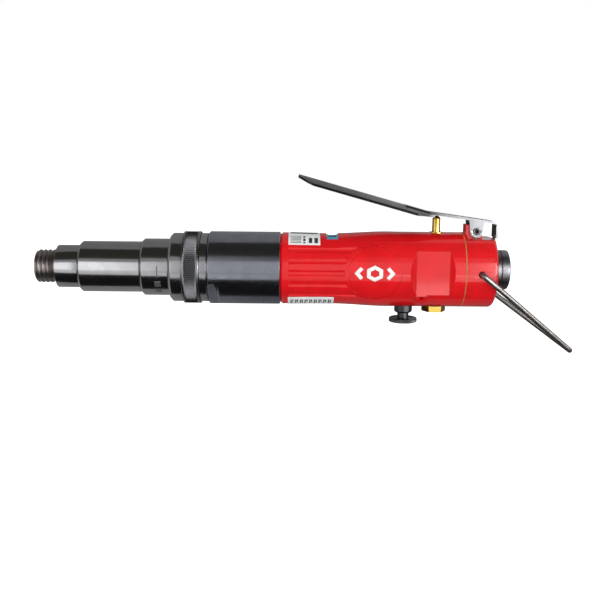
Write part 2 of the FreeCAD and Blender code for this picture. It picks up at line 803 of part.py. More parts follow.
def make_rear_screws():
    screws = []
    head_start = rear_end - screw_head_height - 0.4
    for y, z in screw_places():
        screw = rod(screw_radius, gasket_start - screw_depth + 1, head_start + 1, y, z)
        screw = screw.fuse(rod(screw_head_radius - 0.1, head_start, head_start + screw_head_height, y, z))
        socket = prism_x(hexagon(2.5), head_start + 1.4, rear_end + 1)
        socket.translate(vec(0, y, z))
        screws.append(screw.cut(socket))
    return Part.makeCompound(screws)


screen_end = inlet_end - inlet_thread_depth
screen_start = screen_end - screen_thickness - side_gap


def make_inlet_bushing():
    edge = 0.9
    middle = (rear_end + inlet_end) / 2 - 0.4
    body = turned([(rear_end, 0), (rear_end, inlet_radius - 0.3), (rear_end + 0.3, inlet_radius),
                   (middle - 0.35, inlet_radius), (middle, inlet_radius - 0.4), (middle + 0.35, inlet_radius),
                   (inlet_end - edge, inlet_radius), (inlet_end - 0.26, inlet_radius - 0.26),
                   (inlet_end, inlet_radius - edge), (inlet_end, 0)])
    body = body.fuse(rod(inlet_spigot_radius, rear_end - inlet_spigot_length, rear_end))
    body = body.cut(rod(inlet_thread_radius, screen_end, inlet_end + 1))
    body = body.cut(rod(screen_radius + running_gap, screen_start, inlet_end))
    return body.cut(rod(inlet_bore, rear_end - inlet_spigot_length - 1, inlet_end))


def make_inlet_screen():
    """Pierced disc on a seat just below the inlet's thread."""
    disc = rod(screen_radius, screen_start, screen_start + screen_thickness)
    for circle, count in ((1.9, 6), (3.7, 12)):
        for hole in ring_of(rod(0.5, screen_start - 1, screen_end + 1, 0, circle), count):
            disc = disc.cut(hole)
    return disc


# ================================================================ lever, valves and bail
tail_x = rear_end + 1.3
bend_x = pin_x - strip_forward
ear_width = 1.2
ear_out = strip_width / 2


def strip_z(x):
    """Height of the lever strip's centreline."""
    return pin_z + strip_rise + (pin_x - x) * math.tan(strip_slope)


def bent_line(points, radii):
    """Wire of straight runs joined by an arc at each inner point."""
    edges = []
    last = points[0]
    for before, corner, after, radius in zip(points, points[1:], points[2:], radii):
        into = (corner - before).normalize()
        away = (after - corner).normalize()
        setback = radius * math.tan(into.getAngle(away) / 2)
        start = corner - into * setback
        end = corner + away * setback
        inward = (away - into).normalize()
        centre_distance = math.hypot(radius, setback)
        middle = corner + inward * (centre_distance - radius)
        edges.append(Part.makeLine(last, start))
        edges.append(Part.Arc(start, middle, end).toShape())
        last = end
    edges.append(Part.makeLine(last, points[-1]))
    return Part.Wire(edges)


def make_grip(tip_x, tip_z):
    """Front of the lever: sheet pressed to a shallow arch across its width."""
    arch_radius = (grip_width ** 2 / 4 + grip_crown ** 2) / 2 / grip_crown
    along = vec(bend_x - tip_x, 0, strip_z(bend_x) - tip_z).normalize()
    square = vec(-along.z, 0, along.x)
    start = vec(tip_x, 0, tip_z) - square * arch_radius
    length = grip_length + 3
    arch = Part.makeCylinder(arch_radius + sheet / 2, length, start, along)
    arch = arch.cut(Part.makeCylinder(arch_radius - sheet / 2, length + 2, start - along, along))
    half = grip_width / 2
    outline = [(tip_x - 2, half * 0.3), (tip_x + 1.2, half * 0.62), (tip_x + 4.5, half * 0.88),
               (tip_x + 7.5, half), (bend_x - 7, half), (bend_x + 4, strip_width / 2)]
    outline += [(x, -y) for x, y in reversed(outline)]
    return arch.common(prism_z(outline, body_radius, tip_z + 10))


def make_lever():
    tip_x = bend_x - grip_length * math.cos(grip_slope)
    tip_z = strip_z(bend_x) + grip_length * math.sin(grip_slope)
    root_x = bend_x - 12
    root_z = strip_z(bend_x) + 12 * math.tan(grip_slope)
    line = bent_line([vec(root_x, 0, root_z), vec(bend_x, 0, strip_z(bend_x)),
                      vec(tail_x, 0, strip_z(tail_x)), vec(tail_x, 0, flat_height - 1.4)], [6.0, 1.8])
    ribbon = Part.Face(line.makeOffset2D(sheet / 2, 0, False, False))
    body = ribbon.extrude(vec(0, strip_width, 0))
    body.translate(vec(0, -strip_width / 2, 0))
    body = body.fuse(make_grip(tip_x, tip_z))
    tongue = strip_width / 2 - 2.2
    for low, high in ((-30, -tongue), (tongue, 30)):
        body = body.cut(block((tail_x - 2, tail_x + 5), (low, high), (0, flat_height + 0.4)))
    front = pin_x - ear_radius
    rear = pin_x + ear_radius + 0.7
    ear = cross_rod(ear_radius, 0, ear_width, pin_x, pin_z)
    corners = [vec(front, 0, pin_z), vec(rear - 0.7, 0, pin_z), vec(rear, 0, strip_z(rear)),
               vec(front - 0.7, 0, strip_z(front - 0.7))]
    ear = ear.fuse(Part.Face(Part.makePolygon(corners + [corners[0]])).extrude(vec(0, ear_width, 0)))
    ear = ear.cut(cross_rod(pin_radius, -1, ear_width + 1, pin_x, pin_z))
    for y in (-ear_out, ear_out - ear_width):
        side_ear = ear.copy()
        side_ear.translate(vec(0, y, 0))
        body = body.fuse(side_ear)
    return body.removeSplitter()


def make_lever_pin():
    """Rolled spring pin: a tube pressed in the lever's ears."""
    reach = ear_out + 0.25
    pin = cross_rod(pin_radius, -reach, reach, pin_x, pin_z)
    return pin.cut(cross_rod(pin_radius - 1.0, -reach - 1, reach + 1, pin_x, pin_z))


stem_contact = strip_z(valve_x) - sheet / 2 / math.cos(strip_slope)
stem_top = stem_contact - 0.35
poppet_high = seat_height - 1.0
poppet_low = poppet_high - poppet_thickness
plug_shank_top = plug_face + 6.5


def make_valve_bush():
    body = post(bush_radius, seat_height + 4, body_radius + 0.1, valve_x)
    return body.cut(post(stem_radius + running_gap, 0, body_radius + 2, valve_x))


def make_valve_stem():
    shaft = post(stem_radius, poppet_low, stem_top - stem_radius, valve_x)
    dome = Part.makeSphere(stem_radius, vec(valve_x, 0, stem_top - stem_radius))
    poppet = post(poppet_radius, poppet_low, poppet_high, valve_x)
    guide = post(1.6, poppet_low - 2.5, poppet_low, valve_x)
    return shaft.fuse(dome).fuse(poppet).fuse(guide)


def make_valve_seal():
    seal = post(poppet_radius, poppet_high, seat_height - running_gap, valve_x)
    return seal.cut(post(stem_radius, 0, 10, valve_x))


def make_valve_spring():
    return coil(3.0, valve_spring_wire, 6, poppet_low - plug_shank_top,
                vec(valve_x, 0, plug_shank_top), "z")


def make_valve_plug():
    hex_low = plug_face - washer_thickness - plug_hex_height
    head = prism_z(hexagon(plug_flats), hex_low, plug_face - washer_thickness)
    cone_top = plug_flats / math.sqrt(3) + 2.4
    cone = Part.makeCone(cone_top - 2.6, cone_top + 1.6, 4.2, vec(0, 0, hex_low), vec(0, 0, 1))
    head = head.common(cone)
    head.translate(vec(valve_x, 0, 0))
    shank = post(valve_bore, plug_face - washer_thickness, plug_shank_top, valve_x)
    spring_well = post(2.0, plug_shank_top - 3, plug_shank_top + 1, valve_x)
    return head.fuse(shank).cut(spring_well)


def make_plug_washer():
    washer = post(6.9, plug_face - washer_thickness, plug_face, valve_x)
    return washer.cut(post(valve_bore, plug_face - 2, plug_face + 1, valve_x))


def make_reverse_sleeve():
    body = Part.makeCone(reverse_sleeve_radius - 0.8, reverse_sleeve_radius, 0.8,
                         vec(reverse_x, 0, sleeve_low), vec(0, 0, 1))
    body = body.fuse(post(reverse_sleeve_radius, sleeve_low + 0.8, sleeve_high, reverse_x))
    return body.cut(post(reverse_spool_radius + running_gap, sleeve_low - 1, sleeve_high + 1, reverse_x))


land_low = sleeve_high + 0.4
spool_top = 8.0
seal_wire = 0.55


def make_reverse_spool():
    body = post(reverse_spool_radius, knob_high, land_low + 1, reverse_x)
    for low, high in ((land_low, land_low + 4.5), (spool_top - 4.5, spool_top)):
        body = body.fuse(post(reverse_land_radius, low, high, reverse_x))
    body = body.fuse(post(reverse_spool_radius - 1.0, land_low, spool_top, reverse_x))
    for z in (land_low + 2.25, spool_top - 2.25):
        groove = post(reverse_land_radius + 1, z - seal_wire, z + seal_wire, reverse_x)
        body = body.cut(groove.cut(post(reverse_land_radius - 2 * seal_wire, z - 2, z + 2, reverse_x)))
    return body


def make_spool_seals():
    rings = []
    for z in (land_low + 2.25, spool_top - 2.25):
        rings.append(doughnut(reverse_land_radius - seal_wire, seal_wire, reverse_x, 0, z, (0, 0, 1)))
    return Part.makeCompound(rings)


def make_reverse_knob():
    low = knob_high - knob_thickness
    disc = post(knob_radius, low + 0.5, knob_high - 0.4, reverse_x)
    disc = disc.fuse(Part.makeCone(knob_radius - 0.7, knob_radius, 0.5, vec(reverse_x, 0, low), vec(0, 0, 1)))
    return disc.fuse(Part.makeCone(knob_radius, knob_radius - 0.4, 0.4, vec(reverse_x, 0, knob_high - 0.4),
                                   vec(0, 0, 1)))


bail_half = body_radius + bail_wire + 0.45     # legs run clear of the housing


def bail_point(along, y, drop=0.0):
    """Point in the bail's plane: along from the pivot, y across, drop square to the plane."""
    x = bail_x + along * math.cos(bail_angle) - drop * math.sin(bail_angle)
    z = -along * math.sin(bail_angle) - drop * math.cos(bail_angle)
    return vec(x, y, z)


def make_bail():
    """Wire with both ends turned into the housing; its far leg is bent a little lower."""
    tip = bail_reach - bail_wire
    inside = bail_half - 5.0
    middle = bail_straight + 14.5
    lean = (bail_half - bail_tip_half) / (tip - bail_straight)
    points = [bail_point(0, -inside), bail_point(0, -bail_half), bail_point(bail_straight, -bail_half),
              bail_point(tip, -bail_tip_half), bail_point(tip, bail_tip_half),
              bail_point(middle, bail_half - lean * (middle - bail_straight), bail_far_droop),
              bail_point(bail_straight, bail_half, bail_far_droop * 0.55),
              bail_point(0, bail_half), bail_point(0, inside)]
    path = bent_line(points, [1.9, 14.0, 4.0, 4.0, 25.0, 12.0, 1.9])
    section = Part.Wire(Part.makeCircle(bail_wire, points[0], vec(0, 1, 0)))
    return path.makePipeShell([section], True, True)


# ================================================================ every piece, by name
pieces = {
    "nose_piece": make_nose_piece(),
    "nose_bush": make_nose_bush(),
    "bit_tube": make_bit_tube(),
    "spindle_bush": make_spindle_bush(),
    "marked_collar": make_marked_collar(),
    "clutch_housing": make_clutch_housing(),
    "adjusting_ring": make_adjusting_ring(),
    "ring_retainer": make_ring_retainer(),
    "gear_housing": make_gear_housing(),
    "ring_gear": make_ring_gear(),
    "spindle": make_spindle(),
    "bit_ball": make_bit_ball(),
    "bit_ring": make_bit_ring(),
    "clutch_driven_cam": make_driven_cam(),
    "clutch_balls": Part.makeCompound(clutch_ball_set(clutch_ball_radius)),
    "clutch_driving_cam": make_driving_cam(),
    "clutch_spring": make_clutch_spring(),
    "spring_seat": make_spring_seat(),
    "adjusting_nut": make_adjusting_nut(),
    "carrier_bush": make_carrier_bush(),
    "planet_carrier": make_planet_carrier(),
    "planet_pins": make_planet_pins(),
    "front_end_plate": make_front_end_plate(),
    "rear_end_plate": make_rear_end_plate(),
    "motor_cylinder": make_motor_cylinder(),
    "rotor": make_rotor(),
    "rotor_vanes": make_rotor_vanes(),
    "motor_housing": make_motor_housing(),
    "exhaust_screen": make_exhaust_screen(),
    "exhaust_insert": make_exhaust_insert(),
    "top_label": label(motor_start + 4.2, motor_start + 20.5, 47, 133),
    "bottom_label": label(motor_start + 4.1, motor_start + 27.8, -135, -45),
    "seam_gasket": make_seam_gasket(),
    "rear_housing": make_rear_housing(),
    "rear_screws": make_rear_screws(),
    "inlet_bushing": make_inlet_bushing(),
    "inlet_screen": make_inlet_screen(),
    "lever": make_lever(),
    "lever_pin": make_lever_pin(),
    "valve_bush": make_valve_bush(),
    "valve_stem": make_valve_stem(),
    "valve_seal": make_valve_seal(),
    "valve_spring": make_valve_spring(),
    "valve_plug": make_valve_plug(),
    "plug_washer": make_plug_washer(),
    "reverse_sleeve": make_reverse_sleeve(),
    "reverse_spool": make_reverse_spool(),
    "spool_seals": make_spool_seals(),
    "reverse_knob": make_reverse_knob(),
    "bail": make_bail(),
}
for i in range(planet_count):
    pieces["planet_gear_" + str(i + 1)] = make_planet_gear(i)
for place, start in (("front", front_bearing_start), ("rear", rear_bearing_start)):
    for name, shape in bearing_parts(start, journal_radius, bearing_radius).items():
        pieces[place + "_bearing_" + name] = shape

os.makedirs("parts", exist_ok=True)
for name, shape in pieces.items():
    if not shape.isValid() or not shape.Solids:
        print("CHECK", name, "valid", shape.isValid(), "solids", len(shape.Solids))
    shape.exportStep("parts/" + name + ".step")
    low = shape.BoundBox
    print("%-20s solids %d  x %.1f..%.1f  z %.1f..%.1f" % (name, len(shape.Solids), low.XMin, low.XMax,
                                                        low.ZMin, low.ZMax))
print(len(pieces), "pieces")
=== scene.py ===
import math

import bmesh
import bpy
from mathutils import Matrix, Vector
from mathutils.bvhtree import BVHTree


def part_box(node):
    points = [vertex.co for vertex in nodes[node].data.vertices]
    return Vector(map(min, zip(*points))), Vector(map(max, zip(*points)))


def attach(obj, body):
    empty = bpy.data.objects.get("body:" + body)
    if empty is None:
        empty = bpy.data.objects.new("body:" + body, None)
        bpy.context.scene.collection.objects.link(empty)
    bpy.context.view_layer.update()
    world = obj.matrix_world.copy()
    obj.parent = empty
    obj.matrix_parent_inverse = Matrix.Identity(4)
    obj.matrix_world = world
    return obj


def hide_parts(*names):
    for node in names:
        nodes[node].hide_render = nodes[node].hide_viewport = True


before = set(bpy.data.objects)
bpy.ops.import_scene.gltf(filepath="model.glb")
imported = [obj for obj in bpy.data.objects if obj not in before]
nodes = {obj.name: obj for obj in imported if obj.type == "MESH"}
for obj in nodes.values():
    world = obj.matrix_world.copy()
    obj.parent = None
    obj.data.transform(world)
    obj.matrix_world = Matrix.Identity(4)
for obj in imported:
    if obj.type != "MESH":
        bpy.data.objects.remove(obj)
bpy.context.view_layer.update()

# An inline air screwdriver or rivet gun with a throttle lever. Metres; x runs from the nose's
# front face to the air inlet, z points to the lever, and the spindle axis is y = z = 0.
mm = 0.001


# small helpers
def linear(hexColour):
    channels = [int(hexColour[i:i + 2], 16) / 255 for i in (1, 3, 5)]
    return tuple(c / 12.92 if c <= 0.04045 else ((c + 0.055) / 1.055) ** 2.4 for c in channels) + (1.0,)


def addNode(tree, kind, settings=None, links=None):
    node = tree.nodes.new(kind)
    for name, value in (settings or {}).items():
        setattr(node, name, value)
    for socket, value in (links or {}).items():
        if isinstance(value, bpy.types.NodeSocket):
            tree.links.new(value, node.inputs[socket])
        else:
            node.inputs[socket].default_value = value
    return node


def startMaterial(name, shaderValues):
    material = bpy.data.materials.new(name)
    material.use_nodes = True
    tree = material.node_tree
    tree.nodes.clear()
    shader = addNode(tree, "ShaderNodeBsdfPrincipled", None, shaderValues)
    addNode(tree, "ShaderNodeOutputMaterial", None, {"Surface": shader.outputs["BSDF"]})
    return material, tree, shader


def noiseField(tree, spacing, along=(1, 1, 1), detail=2.0):
    # noise whose grain is spacing metres; along stretches it, and 0 makes it endless that way
    place = addNode(tree, "ShaderNodeTexCoord")
    scaled = addNode(tree, "ShaderNodeVectorMath", {"operation": "MULTIPLY"},
                     {0: place.outputs["Object"], 1: [a / spacing for a in along]})
    noise = addNode(tree, "ShaderNodeTexNoise", None,
                    {"Vector": scaled.outputs[0], "Scale": 1.0, "Detail": detail})
    return noise.outputs[0]


def mapped(tree, value, low, high, newLow, newHigh):
    remap = addNode(tree, "ShaderNodeMapRange", {"clamp": True},
                    {"Value": value, "From Min": low, "From Max": high, "To Min": newLow, "To Max": newHigh})
    return remap.outputs[0]


def mixed(tree, factor, first, second):
    mix = addNode(tree, "ShaderNodeMix", {"data_type": "RGBA"}, {0: factor, 6: first, 7: second})
    return mix.outputs[2]


def bumped(tree, layers):
    # stacks (height, metres) layers into one normal
    normal = None
    for height, distance in layers:
        links = {"Height": height, "Distance": distance, "Strength": 1.0}
        if normal:
            links["Normal"] = normal
        normal = addNode(tree, "ShaderNodeBump", None, links).outputs["Normal"]
    return normal


wear = {"flat": 0.985, "edge": 0.90, "bare": 0.42, "full": 0.62, "least": 0.15}


def edgeMask(tree, radius, patchiness):
    # 1 on outer and inner edges within radius, broken up by a patchy noise
    softened = addNode(tree, "ShaderNodeBevel", {"samples": 4}, {"Radius": radius})
    plain = addNode(tree, "ShaderNodeNewGeometry")
    alike = addNode(tree, "ShaderNodeVectorMath", {"operation": "DOT_PRODUCT"},
                    {0: softened.outputs[0], 1: plain.outputs["Normal"]})
    edge = mapped(tree, alike.outputs["Value"], wear["flat"], wear["edge"], 0.0, 1.0)
    patches = mapped(tree, noiseField(tree, patchiness, detail=4.0),
                     wear["bare"], wear["full"], wear["least"], 1.0)
    product = addNode(tree, "ShaderNodeMath", {"operation": "MULTIPLY"}, {0: edge, 1: patches})
    return product.outputs[0]


# metals
metalLooks = {
    # turned steel with a hot black oxide, oiled: near-black mirror with fine rings and bright worn edges
    "blackened_steel": {
        "name": "blackOxideTurnedSteel", "colour": "#B1B1B3", "cloud": "#A9AAAD", "worn": "#D2D2D3",
        "rough": (0.13, 0.20), "marks": 0.5 * mm, "along": (1, 0, 0), "depth": 0.0012 * mm, "edge": 0.18 * mm},
    # the same oxide over a ground surface: a shade darker and bluer, long soft reflections
    "gear_housing": {
        "name": "blackOxideGroundSteel", "colour": "#A4A7B2", "cloud": "#9A9DA8", "worn": "#CDCDCF",
        "rough": (0.16, 0.24), "marks": 0.4 * mm, "along": (1, 0, 0), "depth": 0.001 * mm, "edge": 0.18 * mm},
    # hot black oxide on a knurled or knocked-about surface: dull, almost black
    "dark_oxide": {
        "name": "dullBlackOxideSteel", "colour": "#505054", "cloud": "#464649", "worn": "#9A9A9C",
        "rough": (0.24, 0.36), "marks": 0.3 * mm, "along": (1, 1, 1), "depth": 0.002 * mm, "edge": 0.12 * mm},
    # the oxide on a sharp knurl, polished by fingers on its crests
    "knurl_oxide": {
        "name": "fingeredKnurlOxide", "colour": "#96969A", "cloud": "#88888C", "worn": "#B4B4B6",
        "rough": (0.24, 0.36), "marks": 0.3 * mm, "along": (1, 1, 1), "depth": 0.002 * mm, "edge": 0.08 * mm},
    # the same oxide rubbed brown by mating threads
    "thread_oxide": {
        "name": "rubbedThreadOxide", "colour": "#A89F9B", "cloud": "#8C8481", "worn": "#C4BEBA",
        "rough": (0.30, 0.42), "marks": 0.3 * mm, "along": (1, 1, 1), "depth": 0.002 * mm, "edge": 0.1 * mm},
    # phosphated steel under thread oil: dull dark grey that scatters what it reflects
    "inlet_bushing": {
        "name": "phosphatedSteel", "colour": "#7C7C80", "cloud": "#6E6E72", "worn": "#8F8F92",
        "rough": (0.30, 0.42), "marks": 0.3 * mm, "along": (1, 0.3, 0.3),
        "depth": 0.003 * mm, "edge": 0.15 * mm},
    # ground alloy steel: bright, with short grinding scratches
    "plain_steel": {
        "name": "groundAlloySteel", "colour": "#A6A7A8", "cloud": "#939496", "worn": "#C9C9C9",
        "rough": (0.22, 0.38), "marks": 0.35 * mm, "along": (1, 0.12, 0.12),
        "depth": 0.002 * mm, "edge": 0.12 * mm},
    # strip steel blanked, bent and tumbled: satin grey with long rolling streaks; painted shade: the
    # sideways-facing edges of the pressed part, but not of the ears behind it, are coloured near black
    "bare_strip": {
        "name": "tumbledStripSteel", "colour": "#8F9092", "cloud": "#7E7F82", "worn": "#C4C4C4",
        "rough": (0.24, 0.40), "marks": 0.4 * mm, "along": (0.04, 1, 0.3), "depth": 0.003 * mm,
        "edge": 0.2 * mm, "sideShadeColour": "#262627", "sideShadeEnd": (0.204, 0.212), "sideways": (0.55, 0.75)},
    # cold-drawn wire, bright zinc: smooth with faint die lines along it
    "wire_steel": {
        "name": "zincedDrawnWire", "colour": "#96928F", "cloud": "#807C7A", "worn": "#C8C5C0",
        "rough": (0.34, 0.44), "marks": 0.5 * mm, "along": (0.1, 1, 0.1),
        "depth": 0.0003 * mm, "edge": 0.1 * mm},
    # oil-tempered spring wire: brown-black with a silky surface
    "spring_steel": {
        "name": "oilTemperedSpringWire", "colour": "#6F6A66", "cloud": "#5B5552", "worn": "#9A958F",
        "rough": (0.22, 0.36), "marks": 0.4 * mm, "along": (1, 1, 1), "depth": 0.001 * mm, "edge": 0.08 * mm},
    # free-cutting brass from the bar lathe: warm yellow with turning rings round the upright axis
    "brass": {
        "name": "turnedBrass", "colour": "#D9B65E", "cloud": "#B98F42", "worn": "#F2DA9A",
        "rough": (0.16, 0.30), "marks": 0.35 * mm, "along": (0, 0, 1), "depth": 0.0015 * mm, "edge": 0.15 * mm},
    # sintered bearing bronze: matt brown-gold, open grain
    "bronze": {
        "name": "sinteredBronze", "colour": "#A9794A", "cloud": "#8A5F3A", "worn": "#C79A66",
        "rough": (0.38, 0.55), "marks": 0.25 * mm, "along": (1, 1, 1), "depth": 0.006 * mm, "edge": 0.1 * mm},
    # die-cast aluminium: pale grey, grainy, faced with a cutter
    "cast_aluminium": {
        "name": "dieCastAluminium", "colour": "#B5B7B9", "cloud": "#9C9EA1", "worn": "#D6D7D8",
        "rough": (0.35, 0.5), "marks": 0.6 * mm, "along": (1, 1, 1), "depth": 0.008 * mm, "edge": 0.15 * mm},
}


def metalFinish(look):
    # a metal keeps the default IOR; finger oil clouds its gloss over several millimetres
    material, tree, shader = startMaterial(look["name"], {"Metallic": 1.0})
    cloud = noiseField(tree, 7 * mm, detail=3.0)
    marks = noiseField(tree, look["marks"], look["along"], detail=3.0)
    body = mixed(tree, mapped(tree, cloud, 0.35, 0.65, 0.0, 1.0), linear(look["colour"]), linear(look["cloud"]))
    worn = edgeMask(tree, look["edge"], 3 * mm)
    colour = mixed(tree, worn, body, linear(look["worn"]))
    low, high = look["rough"]
    gloss = addNode(tree, "ShaderNodeMath", {"operation": "MULTIPLY_ADD"}, {0: marks, 1: 0.5, 2: cloud})
    rough = mapped(tree, gloss.outputs[0], 0.5, 1.0, low, high)
    if "sideShadeColour" in look:
        # painted shade: surfaces facing sideways on the pressed part are darkened to near black
        facing = addNode(tree, "ShaderNodeSeparateXYZ", None,
                         {0: addNode(tree, "ShaderNodeNewGeometry").outputs["True Normal"]})
        sideways = addNode(tree, "ShaderNodeMath", {"operation": "ABSOLUTE"}, {0: facing.outputs["Y"]})
        place = addNode(tree, "ShaderNodeSeparateXYZ", None,
                        {0: addNode(tree, "ShaderNodeTexCoord").outputs["Object"]})
        ahead = mapped(tree, place.outputs["X"], *look["sideShadeEnd"], 1.0, 0.0)
        edge = addNode(tree, "ShaderNodeMath", {"operation": "MULTIPLY"},
                       {0: mapped(tree, sideways.outputs[0], *look["sideways"], 0.0, 1.0),
                        1: ahead}).outputs[0]
        # the painted shade is mixed into the colour here
        colour = mixed(tree, edge, colour, linear(look["sideShadeColour"]))
    tree.links.new(colour, shader.inputs["Base Color"])
    tree.links.new(rough, shader.inputs["Roughness"])
    tree.links.new(bumped(tree, [(marks, look["depth"])]), shader.inputs["Normal"])
    return material


# painted, moulded and soft finishes
enamelLook = {"colour": "#DD0A14", "shade": "#D00811", "primer": "#9A9B9C", "peel": 1.4 * mm,
              "peelDepth": 0.004 * mm, "chip": 0.16 * mm, "rough": 0.5, "coatRough": 0.10}


def redEnamel():
    # baked enamel sprayed on die-cast aluminium: glossy skin with orange peel, thin on sharp edges
    look = enamelLook
    material, tree, shader = startMaterial("bakedRedEnamel", {
        "Roughness": look["rough"], "IOR": 1.5, "Specular IOR Level": 0.1, "Coat Weight": 1.0,
        "Coat Roughness": look["coatRough"], "Coat IOR": 1.5})
    cloud = mapped(tree, noiseField(tree, 9 * mm, detail=3.0), 0.35, 0.68, 0.0, 1.0)
    paint = mixed(tree, cloud, linear(look["colour"]), linear(look["shade"]))
    rubbed = edgeMask(tree, look["chip"], 2.2 * mm)
    thin = mapped(tree, rubbed, 0.55, 1.0, 0.0, 0.55)
    tree.links.new(mixed(tree, thin, paint, linear(look["primer"])), shader.inputs["Base Color"])
    peel = noiseField(tree, look["peel"], detail=1.5)
    normal = bumped(tree, [(peel, look["peelDepth"])])
    tree.links.new(normal, shader.inputs["Normal"])
    tree.links.new(normal, shader.inputs["Coat Normal"])
    return material


plasticLooks = {
    # nitrile rubber, moulded: matt black with a dusty bloom
    "rubber": {"name": "mouldedNitrileRubber", "colour": "#1D1C1C", "cloud": "#2B2A29", "rough": (0.55, 0.75),
               "grain": 0.3 * mm, "depth": 0.006 * mm, "ior": 1.52},
    # oiled gasket paper: tan fibres
    "gasket_paper": {"name": "oiledGasketPaper", "colour": "#B5873C", "cloud": "#8A5F28", "rough": (0.5, 0.7),
                     "grain": 0.4 * mm, "depth": 0.01 * mm, "ior": 1.45},
    # metallised polyester label: pale silver satin film
    "label_film": {"name": "satinPolyesterFilm", "colour": "#F1F3F3", "cloud": "#E6EAEA", "rough": (0.3, 0.42),
                   "grain": 0.5 * mm, "depth": 0.002 * mm, "ior": 1.6},
    # injection-moulded nylon, spark-eroded texture; its light blue is a painted reflection of bluish light on
    # steel
    "blue_plastic": {"name": "blueNylonPaintedReflection", "colour": "#5FAFD2", "cloud": "#4A97BC", "rough": (0.28, 0.4),
                     "grain": 0.35 * mm, "depth": 0.006 * mm, "ior": 1.53},
    # stamped screen, near-black and matt
    "black_plastic": {"name": "nearBlackScreen", "colour": "#141414", "cloud": "#222222", "rough": (0.4, 0.6),
                      "grain": 0.4 * mm, "depth": 0.006 * mm, "ior": 1.5},
    # phenolic cloth laminate: brown with a woven grain
    "vane_laminate": {"name": "phenolicClothLaminate", "colour": "#5E3A22", "cloud": "#7A4E2C",
                      "rough": (0.4, 0.55), "grain": 0.5 * mm, "depth": 0.008 * mm, "ior": 1.55},
}


def plasticFinish(look):
    material, tree, shader = startMaterial(look["name"], {"IOR": look["ior"]})
    cloud = mapped(tree, noiseField(tree, 4 * mm, detail=3.0), 0.35, 0.65, 0.0, 1.0)
    grain = noiseField(tree, look["grain"], detail=3.0)
    low, high = look["rough"]
    tree.links.new(mixed(tree, cloud, linear(look["colour"]), linear(look["cloud"])),
                   shader.inputs["Base Color"])
    tree.links.new(mapped(tree, grain, 0.3, 0.7, low, high), shader.inputs["Roughness"])
    tree.links.new(bumped(tree, [(grain, look["depth"])]), shader.inputs["Normal"])
    return material


def printedInk(name, colour):
    # pad-printed ink: thin, satin, with pinholes where it skipped the peel
    material, tree, shader = startMaterial(name, {"IOR": 1.5, "Coat Weight": 0.3, "Coat Roughness": 0.25})
    speck = mapped(tree, noiseField(tree, 0.6 * mm, detail=2.0), 0.3, 0.7, 0.92, 1.0)
    tint = addNode(tree, "ShaderNodeVectorMath", {"operation": "SCALE"},
                   {0: linear(colour)[:3], "Scale": speck})
    tree.links.new(tint.outputs[0], shader.inputs["Base Color"])
    tree.links.new(mapped(tree, noiseField(tree, 1.2 * mm), 0.3, 0.7, 0.3, 0.45), shader.inputs["Roughness"])
    return material


finishes = {slot: metalFinish(look) for slot, look in metalLooks.items()}
finishes.update({slot: plasticFinish(look) for slot, look in plasticLooks.items()})
finishes["red_enamel"] = redEnamel()
for name in ("reverse_sleeve", "reverse_spool", "lever_pin"):
    finishes[name] = finishes["dark_oxide"]
whiteInk = printedInk("whitePadPrint", "#F4F4F2")
darkInk = printedInk("darkLabelPrint", "#3A3D40")
etchedInk = printedInk("laserEtchedOxide", "#4A4A4C")
print("finishes", len(finishes))


# CAD nodes keep their shape and get broken edges and their finish
edgeBreaks = {"motor_housing": 0.22 * mm, "rear_housing": 0.3 * mm, "lever": 0.22 * mm,
              "gear_housing": 0.2 * mm, "bit_tube": 0.2 * mm, "marked_collar": 0.2 * mm,
              "clutch_housing": 0.2 * mm, "valve_plug": 0.2 * mm}
smoothNodes = ("bail", "clutch_spring", "valve_spring", "spool_seals", "bit_ball", "clutch_balls",
               "front_bearing_balls", "rear_bearing_balls")


def dress(name, node):
    slot = node.material_slots[0].material.name
    node.material_slots[0].material = finishes.get(name, finishes[slot])
    if name in smoothNodes:
        return
    for polygon in node.data.polygons:
        polygon.use_smooth = True
    weld = node.modifiers.new("weld", "WELD")
    weld.merge_threshold = 0.0005 * mm
    bevel = node.modifiers.new("edgeBreak", "BEVEL")
    bevel.width = edgeBreaks.get(name, 0.1 * mm)
    bevel.segments = 2
    bevel.limit_method = "ANGLE"
    bevel.angle_limit = math.radians(34)
    bevel.use_clamp_overlap = True
    bevel.miter_outer = "MITER_ARC"
    bevel.harden_normals = False
    weighted = node.modifiers.new("flatShading", "WEIGHTED_NORMAL")
    weighted.weight = 60
    weighted.keep_sharp = False


for name, node in sorted(nodes.items()):
    dress(name, node)
print("dressed", len(nodes), "CAD nodes")


# building blocks for new pieces
def addPiece(name, points, faces, material, body, sharp=50):
    mesh = bpy.data.meshes.new(name)
    mesh.from_pydata(points, [], faces)
    work = bmesh.new()
    work.from_mesh(mesh)
    bmesh.ops.recalc_face_normals(work, faces=work.faces)
    work.to_mesh(mesh)
    work.free()
    mesh.shade_smooth()
    mesh.set_sharp_from_angle(angle=math.radians(sharp))
    mesh.materials.append(material)
    piece = bpy.data.objects.new(name, mesh)
    bpy.context.scene.collection.objects.link(piece)
    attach(piece, body)
    return piece


def eased(profile, size):
    # breaks every corner of a closed (x, radius) section with a small round
    result = []
    count = len(profile)
    for i, corner in enumerate(profile):
        here = Vector(corner)
        before = Vector(profile[i - 1]) - here
        after = Vector(profile[(i + 1) % count]) - here
        reach = min(size, before.length * 0.4, after.length * 0.4)
        first = here + before.normalized() * reach
        last = here + after.normalized() * reach
        middle = (first + last) / 4 + here / 2
        result += [tuple(first), tuple(middle), tuple(last)]
    return result


